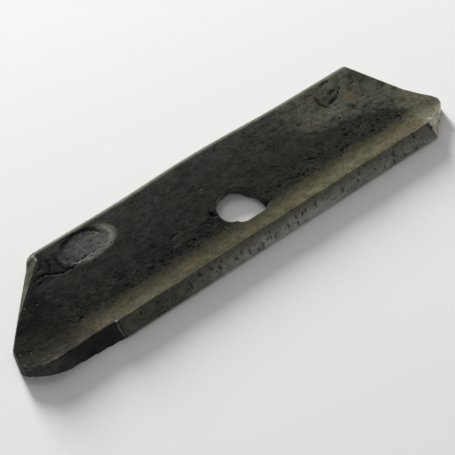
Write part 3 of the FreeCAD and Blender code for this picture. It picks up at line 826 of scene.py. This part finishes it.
def rolled_steel():
    """Dark rolling scale that wears to olive on the rise and to grey on the bevel, with painted
    light that lightens the rise, the heel and the bevel.
    """
    material = bpy.data.materials.new("rolled_steel")
    nodes = Nodes(material)
    where, (x, y, _) = nodes.place()

    broad = nodes.noise(where, 14.0, 3)
    patchy = nodes.noise(where, 4.5, 4, shift=3.1)
    fine = nodes.noise(where, 1.1, 5, 0.65, shift=7.7)
    grain = nodes.noise(where, 0.45, 3, 0.6, shift=1.9)
    drawn = nodes.noise(where, 1.6, 4, 0.6, (3.5, 1, 1), shift=5.3)
    hue = nodes.noise(where, 6.0, 3, 0.6, (2.0, 1, 1), shift=11.3)
    veins = nodes.noise(where, 7.0, 6, 0.7, (2.4, 1, 1), shift=9.1)
    wisp = nodes.step(1 - abs(veins - 0.5) * 16, 0.0, 1.0)

    warped = y + (broad - 0.5) * 7.0 + (patchy - 0.5) * 7.0 + (fine - 0.5) * 5.0
    share = section_share(warped)
    toe = section_ramp(nodes, share, SECTION_TOE)
    middle = section_ramp(nodes, share, SECTION_MIDDLE)
    heel = section_ramp(nodes, share, SECTION_HEEL)
    along = x + (broad - 0.5) * 30 + (patchy - 0.5) * 12
    # Lighter from the toe to the heel: partly the scale's wear, partly painted light
    face = nodes.blend(toe, middle, nodes.step(along, -124.0, -84.0))
    face = nodes.blend(face, heel, nodes.step(along, -20.0, 80.0))
    pale = nodes.mark("pale") * nodes.step(patchy, 0.2, 0.5) * 0.85
    face = nodes.blend(face, STEEL["pale heel"], pale)
    nose = nodes.step(x + y * -0.35 + (patchy - 0.5) * 14, 101.0, 117.0)
    face = nodes.blend(face, STEEL["nose"], nose * 0.75)
    face = nodes.tint(face, WARM, nodes.step(hue, 0.46, 0.64) * 0.45)
    face = nodes.tint(face, GREEN, nodes.step(hue, 0.48, 0.34) * 0.6)
    face = nodes.blend(face, STEEL["scab"], nodes.mark("scab") * 0.55)

    # The bevel, mostly paler near the cutting edge; its greys are painted lighter than the steel to
    # make up for its shade
    lift = (warped * 0.2 + y * 0.8 - FRONT) / (CREST - FRONT)
    middle_on = nodes.step(along, -64.0, 0.0)
    low = nodes.blend(STEEL["low bevel, toe"], STEEL["low bevel, middle"], middle_on)
    low = nodes.blend(low, STEEL["low bevel, heel"], nodes.step(along, 22.0, 80.0))
    heel_on = nodes.step(along, -90.0, 60.0)
    high = nodes.blend(STEEL["high bevel, toe"], STEEL["high bevel, heel"], heel_on)
    bevel = nodes.blend(low, high, nodes.step(lift + (drawn - 0.5) * 0.9, 0.25, 0.95))
    face = nodes.blend(face, bevel, nodes.mark("bevel"))

    off_tip = nodes.step(along, -124.0, -110.0)
    toe_wall = nodes.blend(STEEL["toe cut, tip"], STEEL["toe cut, bevel"], off_tip)
    face = nodes.blend(face, toe_wall, nodes.mark("toe_cut"))
    to_back = nodes.step(x, -114.0, -97.0)
    sheared = nodes.blend(STEEL["cropped, tip"], STEEL["cropped, back"], to_back)
    sheared = nodes.times(sheared, 0.85 + nodes.mark("sheared") * 0.3)
    face = nodes.blend(face, sheared, nodes.mark("cropped"))
    face = nodes.blend(face, STEEL["back edge"], nodes.mark("back") * 0.9)
    face = nodes.blend(face, STEEL["heel end"], nodes.mark("heel_end"))
    face = nodes.blend(face, STEEL["lit heel corner"], nodes.mark("heel_corner"))
    # The bore's toe side is painted lighter to make up for the shade it lies in
    bore = nodes.blend(STEEL["bore, toe, lit"], STEEL["bore, heel"], nodes.step(x, -5.0, 0.5))
    bore = nodes.blend(STEEL["bore, flat"], bore, nodes.step(y, -5.0, 1.0))
    face = nodes.blend(face, bore, nodes.mark("bore"))
    face = nodes.blend(face, STEEL["underside"], nodes.mark("underside"))

    hole_end = nodes.step(x + (patchy - 0.5) * 26, -86.0, -64.0)
    seat = nodes.blend(STEEL["seat, toe"], STEEL["seat, hole"], hole_end)
    face = nodes.blend(face, seat, nodes.mark("seat") * nodes.step(patchy, 0.2, 0.42))
    away = nodes.add("ShaderNodeVectorMath", {"operation": "DISTANCE"}, {0: where, 1: RUST_SPOT},
                     output=1)
    rust = nodes.step(away + (patchy - 0.5) * 9, 5.0, 0.6)
    face = nodes.blend(face, STEEL["rust"], rust * 0.42)

    mottled = 0.50 + nodes.step(fine, 0.34, 0.66) * 0.40 + nodes.step(patchy, 0.34, 0.66) * 0.34
    mottled = mottled + nodes.step(drawn, 0.36, 0.64) * 0.28
    face = nodes.times(face, mottled)
    face = nodes.blend(face, STEEL["wisps"], wisp * nodes.step(broad, 0.42, 0.6) * 0.14)
    bright = nodes.mark("bright")
    # Painted highlight on the rounded back edge and the heel's upper edge
    rim = nodes.mark("rim") * (0.7 + nodes.step(patchy, 0.35, 0.6) * 0.3)
    face = nodes.blend(face, STEEL["rim"], rim)
    # Painted glints and highlights, and the bare metal of burrs and specks; the strongest turn
    # white
    burr = nodes.blend(STEEL["dull glint and burr"], STEEL["white glint and burr"], nodes.step(bright, 0.5, 0.95))
    face = nodes.blend(face, burr, bright * (0.5 + fine * 0.7))
    # Wear of the scale, and painted highlights on the folds' tops
    face = nodes.blend(face, STEEL["worn"], nodes.mark("worn") * 0.5)
    face = nodes.blend(face, STEEL["pits"], nodes.mark("dark") * 0.9)

    roughness = 0.36 + fine * 0.10 + nodes.mark("rough") * 0.34
    metallic = nodes.mark("bevel") * 0.2 + nodes.mark("seat") * 0.15 + bright * 0.1
    bumps = nodes.add("ShaderNodeBump", {}, {"Strength": 0.45, "Distance": 0.2 * MM,
                                             "Height": fine * 0.6 + grain * 0.4})
    shader = nodes.add("ShaderNodeBsdfPrincipled", {}, {"Base Color": face, "Roughness": roughness,
                                                        "Metallic": metallic, "Normal": bumps,
                                                        "Specular IOR Level": 0.01})
    nodes.add("ShaderNodeOutputMaterial", {}, {"Surface": shader})
    return material


# Studio. Its lengths are metres, apart from the camera's, which are millimetres

FLOOR_REACH = 4.0
FLOOR_GREY = colour(238, 238, 237)

# The room's grey at shares of the way up, 1 being straight above
ROOM_GREYS = ((0.0, 0.70), (0.25, 0.55), (0.6, 0.30), (1.0, 0.28))
ROOM_STRENGTH = 0.60

# Lamps: name, the direction they stand in, distance, width and power in watts
LAMPS = (
    ("window", (0.20, 0.78, 0.60), 1.4, 0.9, 6.0),
    ("low_key", (0.26, 0.93, 0.195), 4.0, 1.0, 440.0),
)

# The camera fitted to the photograph, with its roll in degrees
CAMERA_PLACE = (-442.5, -424.9, 693.7)
CAMERA_AIM = (0.4694, 0.4586, -0.7546)
CAMERA_ROLL = 5.43
PHOTO_WIDTH = 455
FOCAL_PIXELS = 1957.06
SENSOR_WIDTH = 36.0


def pale_floor():
    """A plain pale floor under the blade."""
    shape = bmesh.new()
    bmesh.ops.create_grid(shape, x_segments=1, y_segments=1, size=FLOOR_REACH)
    mesh = bpy.data.meshes.new("floor")
    shape.to_mesh(mesh)
    shape.free()
    floor = bpy.data.objects.new("floor", mesh)
    bpy.context.scene.collection.objects.link(floor)
    material = bpy.data.materials.new("pale_floor")
    nodes = Nodes(material)
    shader = nodes.add("ShaderNodeBsdfPrincipled", {}, {"Base Color": FLOOR_GREY, "Roughness": 0.8,
                                                        "Specular IOR Level": 0.2})
    nodes.add("ShaderNodeOutputMaterial", {}, {"Surface": shader})
    mesh.materials.append(material)


def soft_lamp(name, towards, distance, size, power):
    """A round soft lamp that shines at the blade from the given direction."""
    aim = Vector(towards).normalized()
    light = bpy.data.lights.new(name, "AREA")
    light.shape = "DISK"
    light.size = size
    light.energy = power
    lamp = bpy.data.objects.new(name, light)
    bpy.context.scene.collection.objects.link(lamp)
    lamp.location = aim * distance
    lamp.rotation_mode = "QUATERNION"
    lamp.rotation_quaternion = aim.to_track_quat("Z", "Y")


def soft_light():
    """A pale room, brighter round the blade than above it, and two soft lamps at the back."""
    world = bpy.data.worlds.new("studio")
    bpy.context.scene.world = world
    nodes = Nodes(world)
    direction = nodes.add("ShaderNodeTexCoord", output=0)
    split = nodes.add("ShaderNodeSeparateXYZ", sockets={0: direction}, output=2)
    stops = [(place, (grey, grey, grey, 1)) for place, grey in ROOM_GREYS]
    room = nodes.add("ShaderNodeValToRGB", {"stops": stops}, {"Fac": split})
    light = nodes.add("ShaderNodeBackground", {}, {"Color": room, "Strength": ROOM_STRENGTH})
    nodes.add("ShaderNodeOutputWorld", {}, {"Surface": light})
    for lamp in LAMPS:
        soft_lamp(*lamp)


def photo_camera():
    """The camera at the photograph's place."""
    lens = bpy.data.cameras.new("camera")
    lens.sensor_width = SENSOR_WIDTH
    lens.lens = lens.sensor_width * FOCAL_PIXELS / PHOTO_WIDTH
    lens.clip_start = 0.01
    lens.clip_end = 100.0
    camera = bpy.data.objects.new("camera", lens)
    bpy.context.scene.collection.objects.link(camera)
    aim = Vector(CAMERA_AIM).to_track_quat("-Z", "Y")
    roll = Quaternion((0, 0, 1), math.radians(CAMERA_ROLL))
    turned = (aim @ roll).to_matrix().to_4x4()
    camera.matrix_world = Matrix.Translation(Vector(CAMERA_PLACE) * MM) @ turned
    bpy.context.scene.camera = camera


share = forge_share(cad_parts["share"])
share.data.materials.clear()
share.data.materials.append(rolled_steel())
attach(share, "root")
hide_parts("share")

pale_floor()
soft_light()
photo_camera()
bpy.context.scene.view_settings.view_transform = "Standard"
